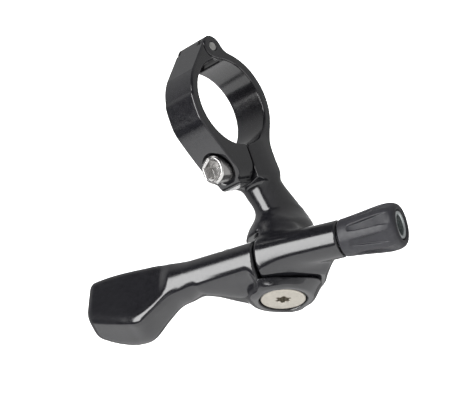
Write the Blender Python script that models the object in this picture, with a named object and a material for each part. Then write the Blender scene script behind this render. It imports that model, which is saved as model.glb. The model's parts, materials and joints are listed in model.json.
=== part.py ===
"""Hinged bar-clamp thumb lever that pulls a cable, with its bearings and cable adjuster.

Row frame: origin on the handlebar axis at the middle of the clamp, +X along the bar towards
the cable adjuster, +Y forward, +Z up.  Sizes below are millimetres; the meshes are metres.
"""
import math

import bmesh
import bpy
from mathutils import Matrix, Vector

MM = 0.001

# Clearances
GAP = 0.3            # between neighbours that show a joint line
FIT = 0.06           # between parts pressed or turning on each other

# Clamp, for a 22.2 mm handlebar.  Its own frame is X, S (hinge to bolt) and B (forward, up).
BAR_R = 11.1
RING_R = 13.35
CLAMP_HALF_WIDTH = 4.9
CLAMP_TILT = 24.5
HINGE_S = -14.4
KNUCKLE_R = 2.9
KNUCKLE_FAR, KNUCKLE_NEAR = -3.6, 2.8    # ends of the strap's knuckle, along the pin
PIN_R = 1.2
BOLT_S = 15.2
EAR_R = 4.9
EAR_B = -9.6
BOLT_SHANK_R = 2.0
BOLT_HEAD_R = 3.4
BOLT_HEAD_LOW = -9.9
BOLT_SEAT_B = -5.4
BOLT_TIP_B = 6.0
THREAD_ROOM = 0.5    # lets the bolt swing out with the strap

# Cable axis, which runs along the body frame's X, level, turned from the bar
BODY_ORIGIN = Vector((0.6, 12.2, -36.5))
BODY_TURN = 19.6
TUBE_R = 4.5
TUBE_LENGTH = 21.0
CABLE_R = 1.1

# Pivot, in the body frame
PIVOT_X, PIVOT_Y = 2.05, 7.45
SOLE_Z = -5.7        # underside of the body
CAP_Z = -8.5         # underside of the lever hub
ROOF_Z = 6.6         # underside of the shoulder over the lever
BOSS_R = 6.4
HUB_R = 7.7
CAP_R = 5.45

PHASE = 0.37         # keeps turned facets off the flat faces that they meet

# Bearings, 5 x 9 x 3
RACE_IN_R, RACE_OUT_R, RACE_W = 2.5, 4.5, 3.0
RACE_WALL = 0.55
BALL_R = 0.75
BALL_COUNT = 7
LOWER_BEARING_Z = SOLE_Z + 0.4
UPPER_BEARING_Z = LOWER_BEARING_Z + 5.6
NUT_Z = UPPER_BEARING_Z + RACE_W + 0.15
NUT_H = 1.8

# Lever
LEVER_TURN = -6.1    # from the cable axis, seen from above
LEVER_R = 4.75
LEVER_START = -1.0
LEVER_END = 48.3

# Adjuster, along the cable axis
KNOB_START = TUBE_LENGTH + GAP
KNOB_END = 36.0
BARREL_R = 2.5
BARREL_END = 36.3
FERRULE_R = 3.35
SEAT_R = 2.5
CABLE_SEAT_X = 30.0


def material(name, color, roughness, metallic):
    """A Principled material for one kind of surface."""
    made = bpy.data.materials.new(name)
    made.use_nodes = True
    shader = made.node_tree.nodes["Principled BSDF"]
    shader.inputs["Base Color"].default_value = (*color, 1.0)
    shader.inputs["Roughness"].default_value = roughness
    shader.inputs["Metallic"].default_value = metallic
    return made


def frame_empty(name, origin, rotation):
    """An empty that carries the parts drawn in its frame."""
    empty = bpy.data.objects.new(name, None)
    bpy.context.scene.collection.objects.link(empty)
    empty.matrix_world = Matrix.Translation(origin * MM) @ rotation.to_4x4()
    return empty


def columns(x_axis, y_axis, z_axis):
    """The rotation whose columns are the three given axes."""
    return Matrix((x_axis, y_axis, z_axis)).transposed()


def from_bmesh(name, bm, frame, look):
    """Turn a bmesh drawn in millimetres into an object in the given frame."""
    bmesh.ops.recalc_face_normals(bm, faces=bm.faces)
    bmesh.ops.scale(bm, vec=(MM, MM, MM), verts=bm.verts)
    mesh = bpy.data.meshes.new(name)
    bm.to_mesh(mesh)
    bm.free()
    mesh.shade_smooth()
    mesh.set_sharp_from_angle(angle=math.radians(35))
    mesh.materials.append(look)
    made = bpy.data.objects.new(name, mesh)
    bpy.context.scene.collection.objects.link(made)
    made.parent = frame
    return made


def loft(name, rings, frame, look):
    """A closed skin through rings of equally many points, with flat end caps."""
    bm = bmesh.new()
    loops = [[bm.verts.new(point) for point in ring] for ring in rings]
    for low, high in zip(loops, loops[1:]):
        count = len(low)
        for i in range(count):
            j = (i + 1) % count
            bm.faces.new((low[i], low[j], high[j], high[i]))
    bm.faces.new(loops[0])
    bm.faces.new(loops[-1])
    return from_bmesh(name, bm, frame, look)


def prism(name, outline, low, high, frame, look, along="z"):
    """An outline pushed from low to high.  Along x, the outline is read as (y, z)."""
    if along == "z":
        rings = [[(a, b, level) for a, b in outline] for level in (low, high)]
    elif along == "x":
        rings = [[(level, a, b) for a, b in outline] for level in (low, high)]
    else:
        rings = [[(b, level, a) for a, b in outline] for level in (low, high)]
    return loft(name, rings, frame, look)


def turned(name, profile, frame, look, along="z", centre=(0, 0), count=32):
    """A closed (radius, height) profile turned about an axis through centre."""
    bm = bmesh.new()
    grid = []
    for i in range(count):
        angle = 2 * math.pi * (i + PHASE) / count
        c, s = math.cos(angle), math.sin(angle)
        column = []
        for radius, height in profile:
            a, b = centre[0] + radius * c, centre[1] + radius * s
            place = {"z": (a, b, height), "x": (height, a, b), "y": (b, height, a)}[along]
            column.append(bm.verts.new(place))
        grid.append(column)
    size = len(profile)
    for i in range(count):
        here, there = grid[i], grid[(i + 1) % count]
        for k in range(size):
            n = (k + 1) % size
            if profile[k][0] > 0 or profile[n][0] > 0:
                bm.faces.new((here[k], there[k], there[n], here[n]))
    bmesh.ops.remove_doubles(bm, verts=bm.verts, dist=1e-4)
    return from_bmesh(name, bm, frame, look)


def rod(name, radius, low, high, frame, look, along="z", centre=(0, 0), count=32):
    """A plain cylinder."""
    profile = [(0, low), (radius, low), (radius, high), (0, high)]
    return turned(name, profile, frame, look, along, centre, count)


def tube(name, inner, outer, low, high, frame, look, along="z", centre=(0, 0), count=32):
    """A plain sleeve."""
    profile = [(inner, low), (outer, low), (outer, high), (inner, high)]
    return turned(name, profile, frame, look, along, centre, count)


def arc(centre, radius, start, end, steps):
    """Points of an arc, angles in degrees."""
    points = []
    for i in range(steps + 1):
        angle = math.radians(start + (end - start) * i / steps)
        points.append((centre[0] + radius * math.cos(angle), centre[1] + radius * math.sin(angle)))
    return points


def ellipse_ring(centre, half_a, half_b, axis_a, axis_b, count=20, power=2.0):
    """A ring of points on a superellipse spanned by two axes."""
    ring = []
    for i in range(count):
        angle = 2 * math.pi * i / count
        c, s = math.cos(angle), math.sin(angle)
        a = math.copysign(abs(c) ** (2 / power), c) * half_a
        b = math.copysign(abs(s) ** (2 / power), s) * half_b
        ring.append(Vector(centre) + Vector(axis_a) * a + Vector(axis_b) * b)
    return ring


def boolean(target, tool, operation):
    """Join or cut with a tool that stays hidden."""
    tool.hide_render = True
    tool.display_type = "WIRE"
    step = target.modifiers.new(tool.name, "BOOLEAN")
    step.operation = operation
    step.object = tool
    step.solver = "EXACT"


def cut(target, *tools):
    for tool in tools:
        boolean(target, tool, "DIFFERENCE")


def join(target, *tools):
    for tool in tools:
        boolean(target, tool, "UNION")


for old in list(bpy.data.objects):
    bpy.data.objects.remove(old, do_unlink=True)

BLACK = material("gloss_black_aluminium", (0.012, 0.012, 0.014), 0.22, 0.5)
STEEL = material("bright_steel", (0.62, 0.61, 0.60), 0.22, 1.0)
PIVOT_STEEL = material("satin_pivot_steel", (0.50, 0.48, 0.43), 0.38, 1.0)
RUBBER = material("dark_grey_knob", (0.045, 0.045, 0.055), 0.55, 0.0)
SILVER = material("silver_ferrule", (0.55, 0.60, 0.60), 0.35, 0.8)
SEAL = material("black_seal_rubber", (0.02, 0.02, 0.02), 0.7, 0.0)
BRASS = material("bearing_cage_brass", (0.55, 0.42, 0.20), 0.35, 1.0)

tilt = math.radians(CLAMP_TILT)
S_AXIS = Vector((0, math.sin(tilt), -math.cos(tilt)))
B_AXIS = Vector((0, math.cos(tilt), math.sin(tilt)))
clamp = frame_empty("clamp_frame", Vector((0, 0, 0)), columns(Vector((1, 0, 0)), S_AXIS, B_AXIS))
body = frame_empty("body_frame", BODY_ORIGIN, Matrix.Rotation(math.radians(BODY_TURN), 3, "Z"))
pivot_place = body.matrix_world @ (Vector((PIVOT_X, PIVOT_Y, 0)) * MM)
pivot = frame_empty("pivot_frame", pivot_place / MM, Matrix.Rotation(math.radians(BODY_TURN), 3, "Z"))
lever_turn = Matrix.Rotation(math.radians(BODY_TURN + LEVER_TURN), 3, "Z")
lever_frame = frame_empty("lever_frame", BODY_ORIGIN, lever_turn)


def rear_half():
    """Rear half of the clamp with the upright, the shoulder, the cable tube and the boss."""
    split = GAP / 2
    outline = arc((HINGE_S, 0), KNUCKLE_R, -40, -285, 16)
    outline += arc((0, 0), RING_R, 163, 44, 20)
    outline += [(12.0, 8.65), (14.4, 8.4), (17.0, 8.6), (19.2, 9.2), (19.2, split), (-11.2, split)]
    made = prism("main_body", outline, -CLAMP_HALF_WIDTH, CLAMP_HALF_WIDTH, clamp, BLACK, "x")

    # Upright: rings of (X, S, B) centre, half width along X and half depth along B
    upright = [
        ((0.0, 14.0, 4.4), 4.6, 4.0), ((0.3, 18.5, 4.8), 4.75, 4.3),
        ((1.0, 22.5, 6.0), 4.9, 4.6), ((2.0, 26.0, 7.5), 5.1, 5.0),
        ((1.9, 29.0, 7.7), 5.8, 6.2), ((1.2, 32.5, 7.0), 7.4, 8.0),
    ]
    rings = [ellipse_ring(c, a, b, (1, 0, 0), (0, 0, 1), 20, 2.3) for c, a, b in upright]
    join(made, loft("upright", rings, clamp, BLACK))

    # Shoulder: a cone frustum over the pivot that ends in the roof above the lever
    shoulder = [(0, ROOF_Z), (7.6, ROOF_Z), (7.9, ROOF_Z + 0.8), (6.6, ROOF_Z + 4.2),
                (5.0, ROOF_Z + 7.0), (0, ROOF_Z + 7.0)]
    join(made, turned("shoulder", shoulder, pivot, BLACK))

    # Boss round the pivot, spreading to the sole
    join(made, rod("boss", BOSS_R, SOLE_Z - 1.0, ROOF_Z + 0.5, pivot, BLACK, count=38))
    sole = [(0.4, 7.0), (2.0, 13.7), (7.4, 13.8), (10.4, 12.2), (12.9, 9.3), (14.4, 6.4), (14.9, 4.1),
            (12.6, 2.9), (5.0, -0.3), (0.3, -2.3)]
    skirt = [(0.4, 7.0), (2.0, 13.7), (7.4, 13.8), (10.6, 12.0), (13.4, 9.0), (15.6, 6.0), (17.2, 3.0),
             (15.2, 0.9), (7.0, -1.9), (0.3, -3.0)]
    waist = [(0.4, 7.0), (2.0, 13.5), (7.6, 13.6), (10.8, 11.3), (12.8, 8.8), (14.4, 6.0), (16.6, 2.6),
             (17.6, -2.4), (9.0, -3.9), (0.3, -4.0)]
    top = [(0.4, 7.0), (2.0, 13.1), (7.0, 13.0), (9.8, 10.6), (11.5, 8.1), (12.6, 5.5), (13.4, 2.9),
           (13.0, -0.3), (6.0, -0.7), (0.3, -0.6)]
    collar = [(0.4, 7.0), (2.0, 12.4), (6.0, 12.2), (8.2, 9.9), (9.4, 7.6), (10.1, 5.2), (10.2, 2.9),
              (9.2, 0.8), (5.0, 0.5), (0.3, 0.4)]
    levels = ((SOLE_Z - 1.2, sole), (SOLE_Z + 0.2, sole), (SOLE_Z + 1.7, skirt), (0.2, waist),
              (ROOF_Z - 2.4, top), (ROOF_Z + 1.3, collar))
    rings = [[(x, y, z) for x, y in outline] for z, outline in levels]
    join(made, loft("flare", rings, body, BLACK))
    join(made, rod("cable_tube", TUBE_R, 0.0, TUBE_LENGTH, body, BLACK, "x"))

    trim = [(-20, -20), (30, -20), (30, 30), (-20, 30)]
    cut(made, prism("sole_trim", trim, SOLE_Z - 9, SOLE_Z + 0.1, body, BLACK))
    cut(made, rod("bar_cut", BAR_R, -9, 9, clamp, BLACK, "x", count=64))
    cut(made, rod("hinge_room", KNUCKLE_R + GAP, KNUCKLE_FAR - GAP, KNUCKLE_NEAR + GAP,
                  clamp, BLACK, "x", (HINGE_S, 0)))
    cut(made, rod("pin_hole", PIN_R + FIT, -9, 9, clamp, BLACK, "x", (HINGE_S, 0), 20))
    cut(made, rod("bolt_thread", BOLT_SHANK_R + THREAD_ROOM, -3, BOLT_TIP_B + 1.0, clamp, BLACK,
                  "z", (0, BOLT_S), 24))
    cut(made, rod("bearing_bore", RACE_OUT_R + FIT, SOLE_Z - 2, NUT_Z + NUT_H + 0.4, pivot, BLACK))
    bore = [(0, -2), (CABLE_R, -2), (CABLE_R, 11.5), (BARREL_R + 0.1, 11.5),
            (BARREL_R + 0.1, TUBE_LENGTH - 1.3), (3.5, TUBE_LENGTH - 1.3), (3.5, TUBE_LENGTH + 2),
            (0, TUBE_LENGTH + 2)]
    cut(made, turned("cable_bore", bore, body, BLACK, "x", count=24))
    cut(made, rod("bumper_hole", 1.1 + FIT, -1, 1.6, body, BLACK, "x", (0, 2.75), 16))
    return made


def strap_half():
    """Strap that closes the clamp, with its hinge knuckle and its bolt ear."""
    split = -GAP / 2
    # The outside runs straight from the knuckle to the ring, along their common tangent
    tangent = 180 + math.degrees(math.acos((RING_R - KNUCKLE_R) / -HINGE_S))
    outline = arc((HINGE_S, 0), KNUCKLE_R, 40, tangent, 14)
    outline += arc((0, 0), RING_R, tangent, 262, 9)
    outline += [(-0.5, -13.6), (3.8, -13.5), (7.5, -12.1), (11.0, -10.3), (14.2, -8.4), (17.0, -6.7),
                (BOLT_S + EAR_R, -4.9), (BOLT_S + EAR_R, split), (-11.2, split)]
    made = prism("clamp_strap", outline, -CLAMP_HALF_WIDTH, CLAMP_HALF_WIDTH, clamp, BLACK, "x")
    ear_cut = [(-CLAMP_HALF_WIDTH - 1, BOLT_S), (-CLAMP_HALF_WIDTH - 1, BOLT_S + 9),
               (CLAMP_HALF_WIDTH + 1, BOLT_S + 9), (CLAMP_HALF_WIDTH + 1, BOLT_S)]
    round_end = [(CLAMP_HALF_WIDTH * c, BOLT_S + EAR_R * s) for c, s in arc((0, 0), 1.0, 0, 180, 16)]
    ear_cut = ear_cut[:3] + [ear_cut[3]] + round_end
    cut(made, prism("ear_rounding", ear_cut, -16, 2, clamp, BLACK))
    for name, low, high in (("near", KNUCKLE_NEAR, 9), ("far", -9, KNUCKLE_FAR)):
        cut(made, rod("knuckle_room_" + name, KNUCKLE_R + GAP, low, high, clamp, BLACK, "x",
                      (HINGE_S, 0)))
    cut(made, rod("strap_bar_cut", BAR_R, -9, 9, clamp, BLACK, "x", count=64))
    cut(made, rod("strap_pin_hole", PIN_R + 0.08, -9, 9, clamp, BLACK, "x", (HINGE_S, 0), 20))
    hole_r, head_r = BOLT_SHANK_R + 0.25, BOLT_HEAD_R + 0.35
    bolt_hole = [(0, -20), (head_r, -20), (head_r, BOLT_SEAT_B), (hole_r, BOLT_SEAT_B), (hole_r, 3), (0, 3)]
    cut(made, turned("strap_bolt_hole", bolt_hole, clamp, BLACK, "z", (0, BOLT_S), 28))
    return made


def hex_outline(across_flats):
    return [(x, y) for x, y in arc((0, 0), across_flats / math.sqrt(3), 30, 330, 5)]


def fasteners():
    """Hinge pin and clamp bolt."""
    pin = [(0, -CLAMP_HALF_WIDTH + 0.05), (PIN_R - 0.2, -CLAMP_HALF_WIDTH + 0.05),
           (PIN_R, -CLAMP_HALF_WIDTH + 0.25), (PIN_R, CLAMP_HALF_WIDTH - 0.25),
           (PIN_R - 0.2, CLAMP_HALF_WIDTH - 0.05), (0, CLAMP_HALF_WIDTH - 0.05)]
    turned("hinge_pin", pin, clamp, STEEL, "x", (HINGE_S, 0), 20)

    seat = BOLT_SEAT_B - 0.1
    profile = [(0, BOLT_HEAD_LOW), (BOLT_HEAD_R - 0.4, BOLT_HEAD_LOW), (BOLT_HEAD_R, BOLT_HEAD_LOW + 0.4),
               (BOLT_HEAD_R, seat), (BOLT_SHANK_R, seat), (BOLT_SHANK_R, BOLT_TIP_B - 0.4),
               (BOLT_SHANK_R - 0.4, BOLT_TIP_B), (0, BOLT_TIP_B)]
    bolt = turned("clamp_bolt", profile, clamp, STEEL, "z", (0, BOLT_S), 28)
    socket = [(x, y + BOLT_S) for x, y in hex_outline(4.2)]
    cut(bolt, prism("bolt_socket", socket, BOLT_HEAD_LOW - 1, BOLT_HEAD_LOW + 2.6, clamp, STEEL))


def rounded_section(corners, radius, count_per_corner=3):
    """A convex outline with each corner rounded, as a list of (w, z)."""
    points = []
    size = len(corners)
    for i in range(size):
        before, here, after = (Vector(corners[(i + k) % size]) for k in (-1, 0, 1))
        enter = here + (before - here) * min(0.46, radius / (before - here).length)
        leave = here + (after - here) * min(0.46, radius / (after - here).length)
        for k in range(count_per_corner):
            t = k / (count_per_corner - 1)
            points.append((1 - t) ** 2 * enter + 2 * t * (1 - t) * here + t * t * leave)
    return points


# Lever arm: distance from its root, then six corners (W backward, Z) of the section
LEVER_SECTIONS = (
    (LEVER_START, ((-2.7, 4.1), (2.7, 4.1), (4.7, -0.5), (2.7, -5.2), (-2.7, -5.2), (-4.7, -0.5))),
    (17.0, ((-2.7, 4.1), (2.7, 4.1), (4.6, -0.5), (2.7, -5.2), (-2.7, -5.3), (-4.7, -0.6))),
    (24.0, ((-3.2, 4.2), (2.4, 4.2), (4.2, -1.0), (2.6, -6.3), (-1.2, -6.7), (-4.8, -3.8))),
    (28.0, ((-3.3, 4.9), (1.8, 4.8), (3.6, -2.0), (3.0, -9.1), (0.3, -9.5), (-5.2, -8.2))),
    (32.0, ((-3.3, 5.2), (1.5, 5.1), (3.3, -3.0), (3.3, -12.2), (1.2, -12.9), (-5.5, -10.0))),
    (36.0, ((-3.3, 5.5), (1.3, 5.3), (2.6, -3.0), (3.3, -12.6), (1.8, -13.3), (-5.4, -9.1))),
    (42.0, ((-3.3, 5.7), (0.8, 5.4), (2.0, -2.5), (2.9, -10.9), (1.4, -11.8), (-5.1, -7.0))),
    (46.8, ((-3.4, 5.3), (-0.2, 5.1), (1.0, -1.8), (1.6, -8.6), (0.6, -9.5), (-4.9, -5.1))),
    (LEVER_END, ((-3.6, 3.4), (-1.4, 3.2), (-0.4, -1.9), (0.0, -6.6), (-1.0, -7.2), (-4.5, -4.2))),
)
SECTION_RADIUS = (2.6, 2.6, 2.2, 1.9, 1.7, 1.6, 1.6, 1.5, 1.0)


def lever_part():
    """Lever: hub under the body, arm beside the cable tube, and thumb paddle."""
    rings = []
    for (along, corners), radius in zip(LEVER_SECTIONS, SECTION_RADIUS):
        rings.append([(-along, w, z) for w, z in rounded_section(corners, radius)])
    made = loft("lever", rings, lever_frame, BLACK)
    cut(made, rod("lever_cable_hole", CABLE_R, -10.5, 2, lever_frame, BLACK, "x", count=16))
    anchor_room = [(0, -2.0), (1.5 + FIT, -2.0), (1.5 + FIT, 1.3), (2.9, 1.3), (2.9, 8), (0, 8)]
    cut(made, turned("anchor_room", anchor_room, lever_frame, BLACK, "z", (-8.0, 0), 20))

    hub = [(0, CAP_Z), (HUB_R - 0.4, CAP_Z), (HUB_R, CAP_Z + 0.4), (HUB_R, SOLE_Z - GAP), (0, SOLE_Z - GAP)]
    join(made, turned("hub", hub, pivot, BLACK, count=40))
    # The hub spreads to one side, to meet the body's flare
    lobe = [(-4.0, 6.5), (4.0, 6.8), (8.4, 4.2), (11.6, 0.6), (12.7, -2.8), (11.8, -4.0), (8.0, -5.7),
            (3.0, -7.8), (-3.0, -9.9)]
    middle = [(-4.0, 6.5), (4.0, 6.7), (7.3, 4.3), (9.3, 1.2), (9.7, -1.5), (9.1, -3.3), (7.0, -5.2),
              (3.4, -7.2), (-3.0, -8.5)]
    narrow = [(-4.0, 6.4), (3.8, 6.6), (6.5, 4.4), (7.9, 1.8), (8.2, -0.7), (7.6, -2.9), (6.1, -4.9),
              (3.4, -6.9), (-3.0, -7.3)]
    levels = ((CAP_Z + 0.3, narrow), (CAP_Z + 1.4, middle), (SOLE_Z + 0.5, lobe))
    join(made, loft("hub_lobe", [[(x, y, z) for x, y in ring] for z, ring in levels], pivot, BLACK))
    # Web from the hub to the arm: distance along X, its two sides, and its underside
    web = ((-18.0, -8.6, -4.6, -5.2), (-9.0, -8.1, 1.8, -7.4), (-1.0, -7.2, 6.9, -8.2))
    rings = [[(x, near, z), (x, far, z), (x, far, SOLE_Z + 2.2), (x, near, SOLE_Z + 2.2)]
             for x, near, far, z in web]
    join(made, loft("hub_web", rings, pivot, BLACK))

    # Room for the boss, turned about the pivot so that it holds at every angle, and for the body
    room_z = SOLE_Z - GAP - 0.1
    cut(made, rod("boss_room", BOSS_R + GAP, room_z - 0.1, 20, pivot, BLACK))
    body_room = [(-PIVOT_X - GAP, -20), (20, -20), (20, 20), (-PIVOT_X - GAP, 20)]
    cut(made, prism("body_room", body_room, room_z, 20, pivot, BLACK))
    bolt_room = [(0, CAP_Z - 2), (CAP_R + 0.35, CAP_Z - 2), (CAP_R + 0.35, CAP_Z + 1.3),
                 (RACE_IN_R + FIT, CAP_Z + 1.3), (RACE_IN_R + FIT, 0), (0, 0)]
    cut(made, turned("bolt_room", bolt_room, pivot, BLACK))
    return made


def anchor_parts():
    """Screw and washer that clamp the cable in the lever."""
    tube("anchor_washer", 1.5 + FIT, 2.7, 1.4, 1.9, lever_frame, STEEL, "z", (-8.0, 0), 20)
    profile = [(0, -1.8), (1.5, -0.6), (1.5, 2.0), (2.5, 2.0), (2.5, 3.5), (2.3, 3.7), (0, 3.7)]
    screw = turned("anchor_screw", profile, lever_frame, STEEL, "z", (-8.0, 0), 20)
    socket = [(x - 8.0, y) for x, y in hex_outline(2.5)]
    cut(screw, prism("anchor_socket", socket, 2.4, 7, lever_frame, STEEL))


def torx_outline(outer, inner, lobes=6, steps=4):
    """Six-lobed recess outline."""
    points = []
    for i in range(lobes * steps):
        angle = 2 * math.pi * i / (lobes * steps)
        wave = 0.5 + 0.5 * math.cos(lobes * angle)
        points.append(((inner + (outer - inner) * wave) * math.cos(angle),
                       (inner + (outer - inner) * wave) * math.sin(angle)))
    return points


def pivot_parts():
    """Pivot bolt, its nut, the thrust washer, the spacer and the two bearings."""
    cap_top = CAP_Z + 1.25
    profile = [(0, CAP_Z), (CAP_R - 0.25, CAP_Z), (CAP_R, CAP_Z + 0.25), (CAP_R, cap_top),
               (RACE_IN_R - 0.03, cap_top), (RACE_IN_R - 0.03, NUT_Z - 0.1), (1.5, NUT_Z - 0.1),
               (1.5, NUT_Z + NUT_H), (0, NUT_Z + NUT_H)]
    bolt = turned("pivot_bolt", profile, pivot, PIVOT_STEEL, count=36)
    cut(bolt, prism("torx_recess", torx_outline(1.55, 1.05), CAP_Z - 1, CAP_Z + 1.8, pivot, PIVOT_STEEL))
    made = prism("pivot_nut", hex_outline(6.6), NUT_Z, NUT_Z + NUT_H, pivot, STEEL)
    cut(made, rod("nut_hole", 1.5 + FIT, NUT_Z - 1, NUT_Z + NUT_H + 1, pivot, STEEL, count=20))

    tube("thrust_washer", RACE_IN_R + FIT, RACE_IN_R + 0.8, SOLE_Z - GAP + 0.08, LOWER_BEARING_Z - 0.08,
         pivot, STEEL, count=24)
    tube("bearing_spacer", RACE_IN_R + FIT, RACE_IN_R + 0.6, LOWER_BEARING_Z + RACE_W + 0.08,
         UPPER_BEARING_Z - 0.08, pivot, STEEL, count=24)
    for side, low in (("lower", LOWER_BEARING_Z), ("upper", UPPER_BEARING_Z)):
        high, mid = low + RACE_W, low + RACE_W / 2
        pitch = (RACE_IN_R + RACE_OUT_R) / 2
        groove = 0.28
        inner_out = RACE_IN_R + RACE_WALL
        outer_in = RACE_OUT_R - RACE_WALL
        inner = [(RACE_IN_R, low), (inner_out, low), (inner_out, mid - 0.7), (inner_out - groove, mid),
                 (inner_out, mid + 0.7), (inner_out, high), (RACE_IN_R, high)]
        turned(side + "_bearing_inner_race", inner, pivot, STEEL, count=24)
        outer = [(outer_in, low), (RACE_OUT_R, low), (RACE_OUT_R, high), (outer_in, high),
                 (outer_in, mid + 0.7), (outer_in + groove, mid), (outer_in, mid - 0.7)]
        turned(side + "_bearing_outer_race", outer, pivot, STEEL, count=28)
        cage = tube(side + "_bearing_balls", pitch - 0.22, pitch + 0.22, mid - 0.45, mid + 0.45, pivot, BRASS,
                    count=28)
        for i in range(BALL_COUNT):
            angle = 2 * math.pi * i / BALL_COUNT
            bm = bmesh.new()
            bmesh.ops.create_icosphere(bm, subdivisions=1, radius=BALL_R * 0.88)
            spot = (pitch * math.cos(angle), pitch * math.sin(angle), mid)
            bmesh.ops.translate(bm, vec=spot, verts=bm.verts)
            join(cage, from_bmesh("%s_ball_%d" % (side, i), bm, pivot, STEEL))


def adjuster_parts():
    """Knob, threaded barrel, ferrule, click ring, click spring, seal ring and bumper."""
    knob = [(3.0, KNOB_START + 4.0), (4.0, KNOB_START + 4.0), (4.0, KNOB_START), (4.5, KNOB_START),
            (4.6, KNOB_START + 2.0), (5.1, KNOB_START + 7.0), (5.6, KNOB_START + 11.0),
            (5.65, KNOB_END - 2.4), (5.3, KNOB_END - 0.8), (4.7, KNOB_END), (3.95, KNOB_END),
            (3.6, KNOB_END - 0.9), (3.6, CABLE_SEAT_X - 0.6), (3.0, CABLE_SEAT_X - 0.6)]
    turned("adjuster_knob", knob, body, RUBBER, "x", count=36)
    barrel = [(CABLE_R, 12.5), (BARREL_R, 12.5), (BARREL_R, KNOB_START + 4.2), (2.94, KNOB_START + 4.2),
              (2.94, CABLE_SEAT_X - 0.9), (CABLE_R, CABLE_SEAT_X - 0.9)]
    turned("adjuster_barrel", barrel, body, SILVER, "x", count=24)
    ferrule = [(CABLE_R, CABLE_SEAT_X - 0.3), (FERRULE_R, CABLE_SEAT_X - 0.3), (FERRULE_R, KNOB_END - 0.5),
               (SEAT_R + 0.06, KNOB_END - 0.5), (SEAT_R, CABLE_SEAT_X + 0.8), (CABLE_R, CABLE_SEAT_X + 0.8)]
    turned("housing_ferrule", ferrule, body, SILVER, "x", count=28)

    tube("click_ring", BARREL_R + 0.15, 3.85, KNOB_START + 0.1, KNOB_START + 0.9, body, STEEL, "x", count=24)
    turns, steps, sides = 2.5, 16, 6
    wire, mean, start, end = 0.25, 3.25, KNOB_START + 1.3, KNOB_START + 3.6
    rings = []
    total = int(turns * steps)
    for i in range(total + 1):
        angle = 2 * math.pi * i / steps
        centre = Vector((start + (end - start) * i / total, mean * math.cos(angle), mean * math.sin(angle)))
        outward = Vector((0, math.cos(angle), math.sin(angle)))
        rings.append(ellipse_ring(centre, wire, wire, outward, (1, 0, 0), sides))
    loft("click_spring", rings, body, STEEL)

    ring = arc((2.98, TUBE_LENGTH - 0.6), 0.36, 0, 315, 7)
    turned("seal_ring", ring, body, SEAL, "x", count=24)
    rod("lever_bumper", 1.1, -0.2, 1.5, body, SEAL, "x", (0, 2.75), 16)


rear_half()
strap_half()
fasteners()
lever_part()
anchor_parts()
pivot_parts()
adjuster_parts()
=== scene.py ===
"""Looks of the thumb shifter: fine rounded surfaces, materials, light and camera.

Each black or turned piece is a distance field in millimetres (negative inside), built from
rounded shapes that are blended and cut, and then turned into a fine mesh.  Places come from the
CAD frame: the strap's hinge gives the clamp's axes, the lever's pivot and the adjuster's axis give
the body's.
"""

import json
import math

import bpy
import numpy as np
from mathutils import Euler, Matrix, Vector


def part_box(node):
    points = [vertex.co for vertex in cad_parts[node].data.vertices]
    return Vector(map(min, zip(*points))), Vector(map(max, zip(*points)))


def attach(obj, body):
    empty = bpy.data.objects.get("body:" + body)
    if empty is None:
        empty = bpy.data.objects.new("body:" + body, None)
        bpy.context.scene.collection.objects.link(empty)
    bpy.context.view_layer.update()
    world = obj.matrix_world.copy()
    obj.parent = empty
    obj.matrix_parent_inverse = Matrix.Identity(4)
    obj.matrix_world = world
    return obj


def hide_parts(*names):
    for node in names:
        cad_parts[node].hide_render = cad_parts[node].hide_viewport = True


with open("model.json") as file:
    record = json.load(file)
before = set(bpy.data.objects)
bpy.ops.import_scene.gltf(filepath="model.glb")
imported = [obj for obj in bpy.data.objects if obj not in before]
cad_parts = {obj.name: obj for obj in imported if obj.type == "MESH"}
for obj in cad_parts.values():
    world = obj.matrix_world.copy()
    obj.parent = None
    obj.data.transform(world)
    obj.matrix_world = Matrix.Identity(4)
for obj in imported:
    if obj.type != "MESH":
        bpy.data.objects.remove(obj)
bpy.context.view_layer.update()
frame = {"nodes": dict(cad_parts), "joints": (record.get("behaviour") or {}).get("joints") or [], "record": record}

MM = 0.001
COARSE = 1.0

# Clamp, in its own frame: X along the bar, S from hinge to bolt, B forward and up
BAR_R, RING_R, CLAMP_HALF = 11.1, 13.34, 4.9
SPLIT = 0.15
SPLIT_START, SPLIT_FOOT = -11.3, 24.0
SIDE_BEVEL, SPLIT_BEVEL, BORE_BEVEL = 0.38, 0.3, 0.35
KNUCKLE_R, KNUCKLE_FAR, KNUCKLE_NEAR = 2.89, -3.6, 2.8
HINGE_GAP, POCKET_R = 0.3, 4.3
PIN_R, PIN_FIT = 1.2, 0.06
REAR_EAR_MIDDLE, REAR_EAR_HALF = (12.2, 4.0), (7.4, 4.6)
STRAP_EAR = ((-3.0, 2.0), (20.1, 2.0), (20.1, -4.9), (14.2, -8.3), (11.0, -10.2), (7.5, -12.0),
             (3.8, -13.45), (-3.0, -13.2))
BOLT_S = 15.2
BOLT_HEAD_R, BOLT_HEAD_LOW, BOLT_SEAT, BOLT_TIP = 3.4, -9.9, -5.4, 6.0
BOLT_SHANK_R, SWING_ROOM, BOLT_FIT, HEAD_FIT = 2.0, 0.5, 0.25, 0.35
THREAD_PITCH, THREAD_DEPTH, THREAD_START = 0.7, 0.22, 0.5
SOCKET_FLATS, SOCKET_DEPTH = 4.3, 2.8

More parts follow.
